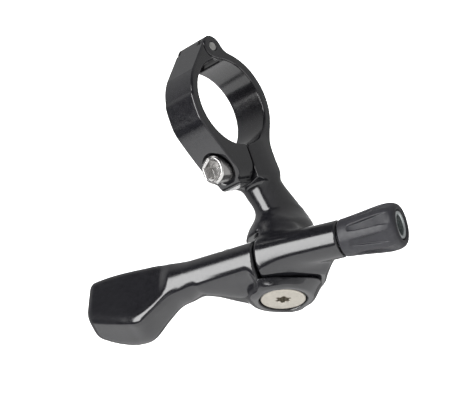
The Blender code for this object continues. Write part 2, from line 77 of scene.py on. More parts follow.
# Upright between clamp and shoulder: ovals along S, by their centre and half sizes
UPRIGHT_STATIONS = (11.0, 18.5, 22.5, 26.0, 29.0, 33.0, 36.0)
UPRIGHT_CENTRE_X = (0.0, 0.3, 0.65, 1.2, 1.25, 0.8, 0.8)
UPRIGHT_CENTRE_B = (4.4, 4.95, 5.9, 6.9, 7.4, 7.0, 6.5)
UPRIGHT_HALF_X = (4.4, 4.7, 4.6, 4.4, 4.95, 6.8, 7.0)
UPRIGHT_HALF_B = (4.0, 4.4, 4.9, 5.7, 6.6, 8.0, 6.8)
UPRIGHT_POWER = 2.25

# Body, in its own frame: X along the cable, Z up.  The pivot stands at PIVOT_X, PIVOT_Y.
PIVOT_X = 2.05
TUBE_R, TUBE_END = 4.5, 21.0
SOLE_Z, CAP_Z, ROOF_Z = -5.7, -8.5, 6.6
BOSS_R, HUB_R, CAP_R, CAP_THICK = 6.4, 7.7, 5.45, 1.25
GAP = 0.3
CABLE_R = 1.1
BEARING_R, BEARING_TOP = 4.56, 6.9
PIVOT_SHANK_R, PIVOT_STUB_R = 2.47, 1.5
TORX_R, TORX_WAVE, TORX_DEPTH = 1.62, 0.32, 1.9
BUMPER_R, BUMPER_Z, BUMPER_END = 1.16, 2.75, 1.6
BARREL_HOLE_R, BARREL_HOLE_START = 2.6, 11.5
MOUTH_R, MOUTH_DEPTH = 3.5, 1.3

# Shoulder over the pivot: its radius by height
SHOULDER_HEIGHTS = (5.0, 6.6, 7.6, 9.5, 11.5, 13.8)
SHOULDER_RADII = (7.8, 7.8, 7.8, 7.0, 6.0, 4.6)

# Lever arm, in its own frame: U from its root to its tip, W backward, Z up
LEVER_TURN = math.radians(-6.1)
LEVER_TRAVEL = math.radians(40)
ARM_R, ARM_DROP, ARM_START, ARM_ROUND_END = 4.72, -0.55, -1.5, 25.2
LEVER_END = 48.2
ANCHOR_U = 8.0
ANCHOR_HOLE_R, ANCHOR_HOLE_LOW = 1.56, -2.0
ANCHOR_ROOM_R, ANCHOR_ROOM_LOW = 2.9, 1.3
LEVER_CABLE_END = 10.5
PADDLE_STATIONS = (19.0, 24.0, 28.0, 32.0, 36.0, 42.0, 48.5)
# Corners of the paddle's section: front top, back top, back, back foot, front foot, ridge
PADDLE_CORNERS = (
    ((-2.5, 3.0), (2.6, 3.2), (4.1, -0.8), (2.5, -5.2), (-1.0, -5.4), (-3.9, -2.4)),
    ((-3.3, 4.2), (2.2, 4.2), (4.0, -1.0), (2.6, -6.5), (-1.0, -6.9), (-4.7, -5.3)),
    ((-3.3, 4.9), (1.8, 4.8), (3.6, -2.0), (3.0, -9.2), (0.3, -9.6), (-5.2, -8.3)),
    ((-3.3, 5.2), (1.5, 5.1), (3.3, -3.0), (3.3, -12.2), (1.2, -12.9), (-5.5, -10.1)),
    ((-3.3, 5.5), (1.3, 5.3), (2.6, -3.0), (3.3, -12.6), (1.8, -13.3), (-5.4, -9.1)),
    ((-3.3, 5.7), (0.8, 5.4), (2.0, -2.5), (2.9, -10.9), (1.4, -11.8), (-5.1, -7.0)),
    ((-3.4, 5.2), (-0.6, 5.0), (0.8, -1.5), (1.3, -8.0), (0.4, -8.9), (-4.8, -4.6)),
)
PADDLE_ROUNDING = (2.4, 2.2, 2.0, 1.9, 1.8, 1.8, 1.8)

# Flare of the lower body, convex outlines in the body frame at six heights
FLARE_HEIGHTS = (-6.9, -5.5, -4.0, 0.2, 4.2, 7.9)
SOLE_OUTLINE = ((0.4, 7.0), (2.0, 13.7), (7.4, 13.8), (10.4, 12.2), (12.9, 9.3), (14.4, 6.4), (14.9, 4.1),
                (12.6, 2.9), (5.0, -0.3), (0.3, -2.3))
FLARE_OUTLINES = (
    SOLE_OUTLINE,
    SOLE_OUTLINE,
    ((0.4, 7.0), (2.0, 13.7), (7.4, 13.8), (10.6, 12.0), (13.4, 9.0), (15.6, 6.0), (17.2, 3.0),
     (15.2, 0.9), (7.0, -1.9), (0.3, -3.0)),
    ((0.4, 7.0), (2.0, 13.5), (7.6, 13.6), (10.8, 11.3), (12.8, 8.8), (14.4, 6.0), (16.6, 2.6),
     (17.4, -1.6), (9.0, -3.2), (0.3, -3.3)),
    ((0.4, 7.0), (2.0, 13.1), (6.6, 12.6), (8.9, 10.4), (10.3, 8.0), (11.2, 5.5), (11.8, 2.9),
     (11.4, -0.3), (6.0, -0.7), (0.3, -0.6)),
    ((0.4, 7.0), (2.0, 12.0), (5.2, 11.4), (6.6, 9.6), (7.4, 7.6), (7.8, 5.4), (7.8, 3.2),
     (7.2, 1.2), (5.0, 0.8), (0.3, 0.6)),
)

# Hub's spread to one side, convex outlines about the pivot at three heights
LOBE_HEIGHTS = (-8.2, -7.1, -5.2)
LOBE_OUTLINES = (
    ((-4.0, 6.4), (3.8, 6.6), (6.5, 4.4), (7.9, 1.8), (8.2, -0.7), (7.6, -2.9), (6.1, -4.9), (3.4, -6.9),
     (-3.0, -7.3)),
    ((-4.0, 6.5), (4.0, 6.7), (7.3, 4.3), (9.3, 1.2), (9.7, -1.5), (9.1, -3.3), (7.0, -5.2), (3.4, -7.2),
     (-3.0, -8.5)),
    ((-4.0, 6.5), (4.0, 6.8), (8.4, 4.2), (11.6, 0.6), (12.7, -2.8), (11.8, -4.0), (8.0, -5.7), (3.0, -7.8),
     (-3.0, -9.9)),
)

# Web from the hub to the arm: distance along X from the pivot, its two sides and its underside
WEB_STATIONS = (-18.0, -9.0, -1.0)
WEB_NEAR = (-8.8, -8.9, -9.3)
WEB_FAR = (-4.6, 1.8, 6.9)
WEB_UNDER = (-5.2, -7.4, -8.2)
WEB_TOP = SOLE_Z + 2.0
WEB_SLANT = 0.95

# Adjuster, along the cable axis
KNOB_START, KNOB_END = TUBE_END + GAP, 36.0
KNOB_STATIONS = (21.0, 23.0, 26.5, 30.0, 33.0, 34.6, 35.4, 36.5)
KNOB_RADII = (4.45, 4.62, 5.0, 5.45, 5.65, 5.45, 5.15, 4.7)
FLUTES, FLUTE_TURN = 8, 0.35
FLUTE_START, FLUTE_END, FLUTE_DEPTH = 23.8, 34.9, 0.8
KNOB_SKIRT_R, KNOB_BORE_R, KNOB_SEAT_R = 4.0, 3.0, 3.62
FERRULE_R, SEAT_R, CABLE_SEAT = 3.35, 2.5, 30.0

# Mesh steps
LARGE_STEP, STRAP_STEP, KNOB_STEP, SMALL_STEP, FERRULE_STEP, BOLT_STEP = 0.26, 0.2, 0.15, 0.12, 0.13, 0.11

# Camera, fitted to the object's outline
CAMERA_PLACE = (0.27601, -0.27430, -0.22717)
CAMERA_TURN = (117.402, 1.721, 45.494)
CAMERA_LENS, SENSOR = 140.68, 36.0
AIM = Vector((0.0, 0.008, -0.022))

# Studio: floor, backdrop, and a softbox between dark flags, placed by angles right of and above the camera
FLOOR_CENTRE, FLOOR_SIZE, FLOOR_GLOW = (-0.25, 0.35, -0.42), 1.2, 0.9
BACKDROP_AWAY, BACKDROP_SIZE, BACKDROP_GLOW = 0.55, 0.36, 1.1
KEY_AZIMUTH, KEY_ELEVATION, KEY_STRENGTH = -54, 9, 7.0
KEY_HALF_WIDTH, KEY_HALF_HEIGHT = 0.30, 0.46
KEY_EDGE = (0.90, 1.10)
FLAG_EDGE, FLAG_LEAK = (1.5, 2.4), 0.06
ROOM_BELOW, ROOM_ABOVE, ROOM_EDGE = 0.65, 0.42, (-0.75, 0.1)


# ---------------------------------------------------------------- frames of reference

def joint_named(name):
    """The CAD joint of that name."""
    return next(joint for joint in frame["joints"] if joint["name"] == name)


def unit(vector):
    """The vector at length 1."""
    vector = np.asarray(vector, float)
    return vector / np.linalg.norm(vector)


X_AXIS = np.array((1.0, 0.0, 0.0))
Z_AXIS = np.array((0.0, 0.0, 1.0))
HINGE = np.array(joint_named("strap_hinge")["pos_m"]) / MM
S_AXIS = -unit(HINGE)
B_AXIS = np.cross(X_AXIS, S_AXIS)
HINGE_S = float(HINGE @ S_AXIS)

CABLE_AXIS = unit(joint_named("adjuster_turn")["axis"])
SIDE_AXIS = np.cross(Z_AXIS, CABLE_AXIS)
PIVOT_PLACE = np.array(joint_named("lever_pivot")["pos_m"]) / MM
ON_CABLE = np.array(joint_named("adjuster_turn")["pos_m"]) / MM
PIVOT_Y = float((PIVOT_PLACE - ON_CABLE) @ SIDE_AXIS)
BODY_ORIGIN = PIVOT_PLACE - PIVOT_X * CABLE_AXIS - PIVOT_Y * SIDE_AXIS
ARM_AXIS = math.cos(LEVER_TURN) * CABLE_AXIS + math.sin(LEVER_TURN) * SIDE_AXIS
ARM_SIDE = np.cross(Z_AXIS, ARM_AXIS)


def in_clamp(points):
    """World points as (x, s, b)."""
    return points[:, 0], points @ S_AXIS, points @ B_AXIS


def in_body(points):
    """World points as (x, y, z) of the body frame."""
    moved = points - BODY_ORIGIN
    return moved @ CABLE_AXIS, moved @ SIDE_AXIS, moved[:, 2]


def in_arm(points):
    """World points as (distance from the root, w, z) of the lever arm."""
    moved = points - BODY_ORIGIN
    return -(moved @ ARM_AXIS), moved @ ARM_SIDE, moved[:, 2]


# ---------------------------------------------------------------- distance fields

def soft_min(a, b, k):
    """Union of two fields with a fillet of about k."""
    h = np.clip(0.5 + 0.5 * (b - a) / k, 0.0, 1.0)
    return b + (a - b) * h - k * h * (1.0 - h)


def soft_max(a, b, k):
    """Intersection of two fields with a rounded edge of about k."""
    return -soft_min(-a, -b, k)


def bevel_max(a, b, leg):
    """Intersection of two fields with a flat bevel whose legs are leg long."""
    return np.maximum(np.maximum(a, b), (a + b + leg) * math.sqrt(0.5))


def box_field(u, v, half_u, half_v, rounding):
    """Rounded rectangle."""
    du = np.abs(u) - half_u + rounding
    dv = np.abs(v) - half_v + rounding
    outside = np.hypot(np.maximum(du, 0.0), np.maximum(dv, 0.0))
    return outside + np.minimum(np.maximum(du, dv), 0.0) - rounding


def slab(value, low, high):
    """Between two planes."""
    return np.abs(value - 0.5 * (low + high)) - 0.5 * (high - low)


def disc_field(radius, height, reach, low, high, rounding):
    """A round plate or post with rounded rims."""
    return box_field(radius, height - 0.5 * (low + high), reach, 0.5 * (high - low), rounding)


def convex_field(u, v, corners, rounding):
    """Convex outline, its corners in clockwise order, with soft corners.  They may be arrays."""
    field = None
    count = len(corners)
    for i in range(count):
        (au, av), (bu, bv) = corners[i], corners[(i + 1) % count]
        du, dv = bu - au, bv - av
        length = np.hypot(du, dv)
        edge = ((v - av) * du - (u - au) * dv) / length
        field = edge if field is None else soft_max(field, edge, rounding)
    return field


def smooth_table(where, stations, values):
    """Values read along stations by a curve with no corners."""
    stations = np.asarray(stations, float)
    values = np.asarray(values, float)
    slope = np.gradient(values, stations)
    where = np.clip(where, stations[0], stations[-1])
    i = np.clip(np.searchsorted(stations, where) - 1, 0, len(stations) - 2)
    width = stations[i + 1] - stations[i]
    t = (where - stations[i]) / width
    a, b, c, d = values[i], values[i + 1], slope[i] * width, slope[i + 1] * width
    return a + t * (c + t * (3 * (b - a) - 2 * c - d + t * (2 * (a - b) + c + d)))


def ring_field(s, b):
    """The clamp's round outside."""
    return np.hypot(s, b) - RING_R


def rear_clamp_field(x, s, b):
    """Rear half of the clamp with its two knuckles."""
    knuckle = np.hypot(s - HINGE_S, b) - KNUCKLE_R
    outline = soft_min(ring_field(s, b), knuckle, 3.2)
    ear = box_field(s - REAR_EAR_MIDDLE[0], b - REAR_EAR_MIDDLE[1], *REAR_EAR_HALF, 1.0)
    outline = soft_min(outline, ear, 3.4)
    outline = bevel_max(outline, SPLIT - b, SPLIT_BEVEL)
    outline = np.minimum(outline, knuckle)
    solid = bevel_max(outline, np.abs(x) - CLAMP_HALF, SIDE_BEVEL)
    between = slab(x, KNUCKLE_FAR - HINGE_GAP, KNUCKLE_NEAR + HINGE_GAP)
    pocket = np.maximum(np.hypot(s - HINGE_S, b) - POCKET_R, between)
    return bevel_max(solid, -pocket, 0.2)


def upright_field(x, s, b):
    """The post from the clamp's foot to the shoulder, an oval that grows towards its foot."""
    centre_x, centre_b, half_x, half_b = (
        smooth_table(s, UPRIGHT_STATIONS, values)
        for values in (UPRIGHT_CENTRE_X, UPRIGHT_CENTRE_B, UPRIGHT_HALF_X, UPRIGHT_HALF_B))
    u = np.abs((x - centre_x) / half_x) ** UPRIGHT_POWER
    v = np.abs((b - centre_b) / half_b) ** UPRIGHT_POWER
    oval = ((u + v) ** (1.0 / UPRIGHT_POWER) - 1.0) * np.minimum(half_x, half_b)
    return soft_max(oval, slab(s, UPRIGHT_STATIONS[0], UPRIGHT_STATIONS[-1]), 1.0)


def shoulder_field(radius, height):
    """Round shoulder over the pivot, a dome that ends in the roof above the lever."""
    reach = smooth_table(height, SHOULDER_HEIGHTS, SHOULDER_RADII)
    return soft_max(radius - reach, slab(height, ROOF_Z - 0.2, 13.6), 1.0)


def lofted_corners(where, stations, outlines):
    """Corners of an outline that changes along stations."""
    return [tuple(smooth_table(where, stations, [outline[i][axis] for outline in outlines])
                  for axis in range(2)) for i in range(len(outlines[0]))]


def lower_body_field(x, y, z, radius):
    """Cable tube, pivot boss and the flare that spreads to the sole."""
    tube = np.maximum(np.hypot(y, z) - TUBE_R, slab(x, -1.0, TUBE_END + 2.0))
    boss = disc_field(radius, z, BOSS_R, SOLE_Z - 2.0, 9.0, 0.5)
    flare = convex_field(x, y, lofted_corners(z, FLARE_HEIGHTS, FLARE_OUTLINES), 1.3)
    flare = soft_max(flare, slab(z, -8.0, 7.9), 1.0)
    return soft_min(soft_min(tube, flare, 1.4), boss, 1.5)


def main_body_field(points):
    """Everything that is one forging with the clamp's rear half."""
    x, s, b = in_clamp(points)
    u, v, w = in_body(points)
    radius = np.hypot(u - PIVOT_X, v - PIVOT_Y)
    across = np.hypot(v, w)

    upright = soft_min(upright_field(x, s, b), shoulder_field(radius, w), 2.4)
    solid = soft_min(upright, lower_body_field(u, v, w, radius), 4.0)
    lever_room = np.maximum(np.maximum(w - ROOF_Z, u), BOSS_R - radius)
    solid = soft_max(solid, -lever_room, 0.7)
    solid = bevel_max(solid, SOLE_Z + 0.1 - w, 0.3)
    solid = bevel_max(solid, u - TUBE_END, 0.35)
    solid = soft_min(solid, rear_clamp_field(x, s, b), 2.4)

    # Nothing crosses the split, from the hinge to the foot of the ear
    below_split = SPLIT - b - 2.0 * np.maximum(s - SPLIT_FOOT, 0.0)
    solid = np.maximum(solid, np.where(s < SPLIT_START, -9.0, below_split))

    solid = bevel_max(solid, BAR_R - np.hypot(s, b), BORE_BEVEL)
    pin = np.hypot(s - HINGE_S, b) - PIN_R - PIN_FIT
    solid = np.maximum(solid, -pin)
    thread = np.maximum(np.hypot(x, s - BOLT_S) - BOLT_SHANK_R - SWING_ROOM, b - BOLT_TIP - 1.0)
    solid = np.maximum(solid, -thread)
    bearings = np.maximum(radius - BEARING_R, w - BEARING_TOP)
    solid = bevel_max(solid, -bearings, 0.2)

    bore = np.maximum(across - CABLE_R, slab(u, -4.0, 24.0))
    barrel_hole = np.maximum(across - BARREL_HOLE_R, BARREL_HOLE_START - u)
    mouth = np.maximum(across - MOUTH_R, TUBE_END - MOUTH_DEPTH - u)
    bumper = np.maximum(np.hypot(v, w - BUMPER_Z) - BUMPER_R, slab(u, -1.5, BUMPER_END))
    holes = np.minimum.reduce([bore, barrel_hole, mouth, bumper])
    return np.maximum(solid, -holes)


def strap_field(points):
    """The clamp's hinged half."""
    x, s, b = in_clamp(points)
    outline = soft_min(ring_field(s, b), convex_field(s, b, STRAP_EAR, 0.8), 0.6)
    # The outside runs straight from the ring to the knuckle
    lean = math.acos((RING_R - KNUCKLE_R) / -HINGE_S)
    outward = -s * math.cos(lean) - b * math.sin(lean)
    upward = -s * math.sin(lean) + b * math.cos(lean)
    cheek = np.maximum(np.maximum(outward - RING_R, b), slab(upward, -1.0, -HINGE_S * math.sin(lean)))
    knuckle = np.hypot(s - HINGE_S, b) - KNUCKLE_R
    outline = np.minimum(outline, np.minimum(cheek, knuckle))
    outline = bevel_max(outline, b + SPLIT, SPLIT_BEVEL)
    wide = np.hypot(x, np.maximum(s - BOLT_S, 0.0)) - CLAMP_HALF
    full = np.maximum(outline, -(knuckle - HINGE_GAP))
    middle = bevel_max(np.minimum(outline, knuckle), slab(x, KNUCKLE_FAR, KNUCKLE_NEAR), 0.2)
    solid = np.minimum(bevel_max(full, wide, SIDE_BEVEL), middle)
    solid = bevel_max(solid, BAR_R - np.hypot(s, b), BORE_BEVEL)
    solid = np.maximum(solid, PIN_R + 0.08 - np.hypot(s - HINGE_S, b))
    around_bolt = np.hypot(x, s - BOLT_S)
    solid = np.maximum(solid, BOLT_SHANK_R + BOLT_FIT - around_bolt)
    counterbore = np.maximum(around_bolt - BOLT_HEAD_R - HEAD_FIT, b - BOLT_SEAT)
    return bevel_max(solid, -counterbore, 0.3)


def arm_field(along, side, height):
    """Round arm that flows into the paddle."""
    arm = np.hypot(side, height - ARM_DROP) - ARM_R
    arm = soft_max(arm, slab(along, ARM_START, ARM_ROUND_END), 2.0)
    corners = lofted_corners(along, PADDLE_STATIONS, PADDLE_CORNERS)
    paddle = convex_field(side, height, corners, smooth_table(along, PADDLE_STATIONS, PADDLE_ROUNDING))
    paddle = soft_max(paddle, slab(along, PADDLE_STATIONS[0], LEVER_END), 2.0)
    return soft_min(arm, paddle, 1.4)


def hub_field(across, deep, z, radius):
    """Disc under the body that spreads sideways to meet the flare."""
    lobe = convex_field(across, deep, lofted_corners(z, LOBE_HEIGHTS, LOBE_OUTLINES), 1.2)
    hub = soft_min(radius - HUB_R, lobe, 1.2)
    return soft_max(hub, slab(z, CAP_Z, SOLE_Z + 2.0), 1.3)


def web_field(across, deep, z):
    """Bar that tapers from the hub to the arm, with a slanted near wall."""
    near, far, under = (smooth_table(across, WEB_STATIONS, values)
                        for values in (WEB_NEAR, WEB_FAR, WEB_UNDER))
    near = near + WEB_SLANT * np.clip(WEB_TOP - z, 0.0, 5.0)
    web = soft_max(slab(deep, near, far), slab(across, WEB_STATIONS[0], 1.0), 1.0)
    return soft_max(web, slab(z, under, SOLE_Z + 2.2), 2.0)


def lever_field(points):
    """Arm, paddle, web and hub, less the room that the body and the fasteners need."""
    along, side, height = in_arm(points)
    x, y, z = in_body(points)
    across, deep = x - PIVOT_X, y - PIVOT_Y
    radius = np.hypot(across, deep)
    solid = soft_min(arm_field(along, side, height), web_field(across, deep, z), 1.6)
    solid = soft_min(solid, hub_field(across, deep, z, radius), 2.4)

    # The body's room, at rest and turned back by the lever's travel
    under_body = SOLE_Z - GAP - z
    boss_room = np.maximum(radius - BOSS_R - GAP, under_body)
    solid = bevel_max(solid, -boss_room, 0.25)
    for angle in (0.0, LEVER_TRAVEL):
        turned_x = PIVOT_X + across * math.cos(angle) + deep * math.sin(angle)
        body_room = np.maximum(-GAP - turned_x, under_body)
        solid = bevel_max(solid, -body_room, 0.35)

    cap_room = np.maximum(radius - CAP_R - 0.32, z - CAP_Z - 1.3)
    solid = bevel_max(solid, -cap_room, 0.2)
    solid = np.maximum(solid, -np.maximum(radius - 2.56, z))
    solid = np.maximum(solid, -np.maximum(np.hypot(side, height) - CABLE_R, along - LEVER_CABLE_END))
    from_anchor = np.hypot(along - ANCHOR_U, side)
    solid = np.maximum(solid, -np.maximum(from_anchor - ANCHOR_HOLE_R, ANCHOR_HOLE_LOW - height))
    return bevel_max(solid, -np.maximum(from_anchor - ANCHOR_ROOM_R, ANCHOR_ROOM_LOW - height), 0.2)


def knob_field(points):
    """Fluted grip over the adjuster's barrel."""
    x, y, z = in_body(points)
    across = np.hypot(y, z)
    grip_radius = smooth_table(x, KNOB_STATIONS, KNOB_RADII)
    sector = 2.0 * math.pi / FLUTES
    from_flute = (np.arctan2(z, y) + FLUTE_TURN) % sector - 0.5 * sector
    t = np.clip((x - 23.6) / 11.6, 0.0, 1.0)
    floor = grip_radius - FLUTE_DEPTH * np.sin(math.pi * t ** 0.8)
    width = 0.35 + 1.05 * np.sqrt(t)
    flute = np.maximum(np.abs(across * np.sin(from_flute)) - width, floor - across * np.cos(from_flute))
    flute = soft_max(flute, np.maximum(FLUTE_START - x, x - FLUTE_END), 0.8)
    grip = soft_max(across - grip_radius, -flute, 0.35)
    grip = soft_max(grip, x - KNOB_END, 0.9)
    grip = bevel_max(grip, KNOB_START - x, 0.3)

    skirt = np.maximum(across - KNOB_SKIRT_R, x - KNOB_START - 4.0)
    bore = np.maximum(across - KNOB_BORE_R, x - CABLE_SEAT + 0.6)
    seat = np.maximum(across - KNOB_SEAT_R, CABLE_SEAT - 0.6 - x)
    grip = np.maximum(grip, -np.minimum(skirt, bore))
    return bevel_max(grip, -seat, 0.45)


def ferrule_field(points):
    """Silver seat for the cable housing."""
    x, y, z = in_body(points)
    across = np.hypot(y, z)
    solid = bevel_max(across - FERRULE_R, slab(x, CABLE_SEAT - 0.3, KNOB_END - 0.35), 0.15)
    solid = bevel_max(solid, -np.maximum(across - SEAT_R, CABLE_SEAT + 0.8 - x), 0.25)
    return np.maximum(solid, CABLE_R - across)


def hexagon(u, v, flats):
    """Regular hexagon by its width across flats."""
    angles = [math.radians(60 * i) for i in range(3)]
    sides = [np.abs(u * math.cos(a) + v * math.sin(a)) for a in angles]
    return np.maximum.reduce(sides) - 0.5 * flats


def bolt_field(points):
    """Socket-head clamp bolt with a rolled thread."""
    x, s, b = in_clamp(points)
    around = np.hypot(x, s - BOLT_S)
    head = bevel_max(around - BOLT_HEAD_R, slab(b, BOLT_HEAD_LOW, BOLT_SEAT - 0.1), 0.42)
    phase = b / THREAD_PITCH + np.arctan2(s - BOLT_S, x) / (2.0 * math.pi)
    ridge = np.abs((phase % 1.0) - 0.5) * 2.0
    threaded = np.clip(b - THREAD_START, 0.0, 1.0)
    shank = around - BOLT_SHANK_R + THREAD_DEPTH * ridge * threaded
    shank = bevel_max(shank, slab(b, BOLT_SEAT - 0.5, BOLT_TIP), 0.4)
    solid = np.minimum(head, shank)
    socket = np.maximum(hexagon(x, s - BOLT_S, SOCKET_FLATS), b - BOLT_HEAD_LOW - SOCKET_DEPTH)
    return bevel_max(solid, -socket, 0.35)


def pin_field(points):
    """Hinge pin with a dimple in each end."""
    x, s, b = in_clamp(points)
    around = np.hypot(s - HINGE_S, b)
    pin = bevel_max(around - PIN_R, np.abs(x) - CLAMP_HALF + 0.05, 0.25)
    dimple = np.hypot(around, np.abs(x) - CLAMP_HALF - 1.2) - 1.6
    return np.maximum(pin, -dimple)


def pivot_bolt_field(points):
    """Pivot cap with a six-lobed recess, and its shank."""
    x, y, z = in_body(points)
    x, y = x - PIVOT_X, y - PIVOT_Y
    radius = np.hypot(x, y)
    head = bevel_max(radius - CAP_R, slab(z, CAP_Z, CAP_Z + CAP_THICK), 0.22)
    shank = np.maximum(radius - PIVOT_SHANK_R, slab(z, CAP_Z + 0.5, 4.2))
    stub = np.maximum(radius - PIVOT_STUB_R, slab(z, 4.0, 6.4))
    solid = np.minimum(np.minimum(head, shank), stub)
    lobes = radius - TORX_R - TORX_WAVE * np.cos(6.0 * np.arctan2(y, x))
    recess = np.maximum(lobes, z - CAP_Z - TORX_DEPTH)
    return bevel_max(solid, -recess, 0.12)


# ---------------------------------------------------------------- meshing

def field_grid(field, low, step, counts):
    """The field at the points of a grid, one layer at a time."""
    lines = [low[i] + step * np.arange(counts[i]) for i in range(3)]
    y, z = (side.ravel() for side in np.meshgrid(lines[1], lines[2], indexing="ij"))
    values = np.empty(counts, np.float32)
    for i, x in enumerate(lines[0]):
        layer = np.column_stack((np.full(y.size, x), y, z))
        values[i] = field(layer).reshape(counts[1:])
    return values


def settle(points, field, step):
    """Slide points onto the zero surface, along the field's slope."""
    start = points.copy()
    small = 0.2 * step
    for _ in range(3):
        value = field(points)
        slope = np.empty_like(points)
        for axis in range(3):
            shift = np.zeros(3)
            shift[axis] = small
            slope[:, axis] = (field(points + shift) - field(points - shift)) / (2.0 * small)
        size = np.maximum((slope ** 2).sum(axis=1), 0.2)
        points = points - (value / size)[:, None] * slope
        points = start + np.clip(points - start, -0.45 * step, 0.45 * step)
    return points


def surface_net(field, low, high, step):
    """Vertices and quads of the field's zero surface, with one vertex in each mixed cell."""
    low = np.asarray(low, float) - 2.5 * step
    counts = tuple(int(math.ceil((high[i] - low[i]) / step)) + 3 for i in range(3))
    values = field_grid(field, low, step, counts)
    inside = values < 0.0
    corners = [(i, j, k) for i in (0, 1) for j in (0, 1) for k in (0, 1)]
    total = np.zeros(tuple(n - 1 for n in counts), np.int8)
    for i, j, k in corners:
        total += inside[i:counts[0] - 1 + i, j:counts[1] - 1 + j, k:counts[2] - 1 + k]
    cells = np.argwhere((total > 0) & (total < 8))
    number = np.full(total.shape, -1, np.int32)
    number[tuple(cells.T)] = np.arange(len(cells))

    place = np.zeros((len(cells), 3))
    crossings = np.zeros(len(cells))
    for corner in corners:
        for axis in range(3):
            if corner[axis]:
                continue
            other = list(corner)
            other[axis] = 1
            a = values[tuple((cells + corner).T)]
            b = values[tuple((cells + other).T)]
            crosses = (a < 0.0) != (b < 0.0)
            t = np.where(crosses, a / np.where(crosses, a - b, 1.0), 0.0)
            point = np.array(corner, float) + t[:, None] * (np.array(other) - np.array(corner))
            place += crosses[:, None] * point
            crossings += crosses
    points = low + step * (cells + place / crossings[:, None])

    quads = []
    for axis in range(3):
        one, two = (axis + 1) % 3, (axis + 2) % 3
        near = [slice(None)] * 3
        far = [slice(None)] * 3
        near[axis], far[axis] = slice(0, -1), slice(1, None)
        edges = np.argwhere(inside[tuple(near)] != inside[tuple(far)])
        back_one, back_two = np.zeros(3, int), np.zeros(3, int)
        back_one[one], back_two[two] = 1, 1
        around = (edges - back_one - back_two, edges - back_two, edges, edges - back_one)
        quad = np.column_stack([number[tuple(cell.T)] for cell in around])
        outward = inside[tuple(edges.T)]
        quads.append(np.where(outward[:, None], quad, quad[:, ::-1]))
    return points, np.vstack(quads)


def make_piece(name, node, body, field, step, material, slot):
    """Mesh a field round its CAD node's box, and let it stand for the node."""
    low, high = (np.array(corner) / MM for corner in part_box(node))
    room = 3.0
    step = step * COARSE
    points, quads = surface_net(field, low - room, high + room, step)
    points = settle(points, field, step)
    mesh = bpy.data.meshes.new(name)
    mesh.vertices.add(len(points))
    mesh.vertices.foreach_set("co", (points * MM).astype(np.float32).ravel())
    mesh.loops.add(quads.size)
    mesh.loops.foreach_set("vertex_index", quads.ravel().astype(np.int32))
    mesh.polygons.add(len(quads))
    mesh.polygons.foreach_set("loop_start", np.arange(0, quads.size, 4, dtype=np.int32))
    mesh.update(calc_edges=True)
    mesh.shade_smooth()
    mesh.materials.append(material)
    piece = bpy.data.objects.new(name, mesh)
    bpy.context.scene.collection.objects.link(piece)
    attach(piece, body)
    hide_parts(node)


# ---------------------------------------------------------------- materials

def new_material(name, color, roughness, metallic=0.0, **sockets):
    """A Principled material; sockets are given by name with underscores for spaces."""
    made = bpy.data.materials.new(name)
    made.use_nodes = True
    shader = made.node_tree.nodes["Principled BSDF"]
    shader.inputs["Base Color"].default_value = (*color, 1.0)
    shader.inputs["Roughness"].default_value = roughness
    shader.inputs["Metallic"].default_value = metallic
    for key, value in sockets.items():
        shader.inputs[key.replace("_", " ")].default_value = value
    return made, made.node_tree, shader


def noise(tree, scale, detail=2.0, roughness=0.5):
    """Noise in the object's own coordinates; scale is in cycles per metre."""
    place = tree.nodes.new("ShaderNodeTexCoord")
    made = tree.nodes.new("ShaderNodeTexNoise")
    made.inputs["Scale"].default_value = scale
    made.inputs["Detail"].default_value = detail
    made.inputs["Roughness"].default_value = roughness
    tree.links.new(place.outputs["Object"], made.inputs["Vector"])
    return made.outputs["Fac"]


def spread(tree, value, low, high, from_low=0.3, from_high=0.7):
    """Map a noise value onto a range."""
    made = tree.nodes.new("ShaderNodeMapRange")
    made.inputs["From Min"].default_value = from_low
    made.inputs["From Max"].default_value = from_high
    made.inputs["To Min"].default_value = low
    made.inputs["To Max"].default_value = high
    tree.links.new(value, made.inputs["Value"])
    return made.outputs["Result"]


def add_bump(tree, shader, height, strength, distance):
    """Let a value raise the surface, distance in metres."""
    made = tree.nodes.new("ShaderNodeBump")
    made.inputs["Strength"].default_value = strength
    made.inputs["Distance"].default_value = distance
    tree.links.new(height, made.inputs["Height"])
    tree.links.new(made.outputs["Normal"], shader.inputs["Normal"])


def mix_color(tree, shader, factor, dark, light):
    """Base colour between two colours."""
    made = tree.nodes.new("ShaderNodeMix")
    made.data_type = "RGBA"
    made.inputs["A"].default_value = (*dark, 1.0)
    made.inputs["B"].default_value = (*light, 1.0)
    tree.links.new(factor, made.inputs["Factor"])
    tree.links.new(made.outputs["Result"], shader.inputs["Base Color"])


def gloss_black(name):
    """Black anodised and polished aluminium: a fine grain that shows in its highlights."""
    made, tree, shader = new_material(name, (0.011, 0.011, 0.013), 0.17, Specular_IOR_Level=0.9,
                                      Coat_Weight=0.0, Coat_Roughness=0.1)
    mix_color(tree, shader, spread(tree, noise(tree, 900, 3), 0.0, 1.0), (0.008, 0.008, 0.010),
              (0.015, 0.015, 0.018))
    rough = spread(tree, noise(tree, 1400, 3), 0.13, 0.20)
    tree.links.new(rough, shader.inputs["Roughness"])
    add_bump(tree, shader, noise(tree, 2400, 2), 0.05, 0.00004)
    return made


def metal(name, color, roughness, scale, strength):
    """Machined metal with a fine, uneven sheen."""
    made, tree, shader = new_material(name, color, roughness, 1.0)
    low = tuple(0.86 * c for c in color)
    mix_color(tree, shader, spread(tree, noise(tree, scale * 0.3, 3), 0.0, 1.0), low, color)
    tree.links.new(spread(tree, noise(tree, scale, 3), 0.75 * roughness, 1.3 * roughness),
                   shader.inputs["Roughness"])
    add_bump(tree, shader, noise(tree, scale * 2, 2), strength, 0.00003)
    return made


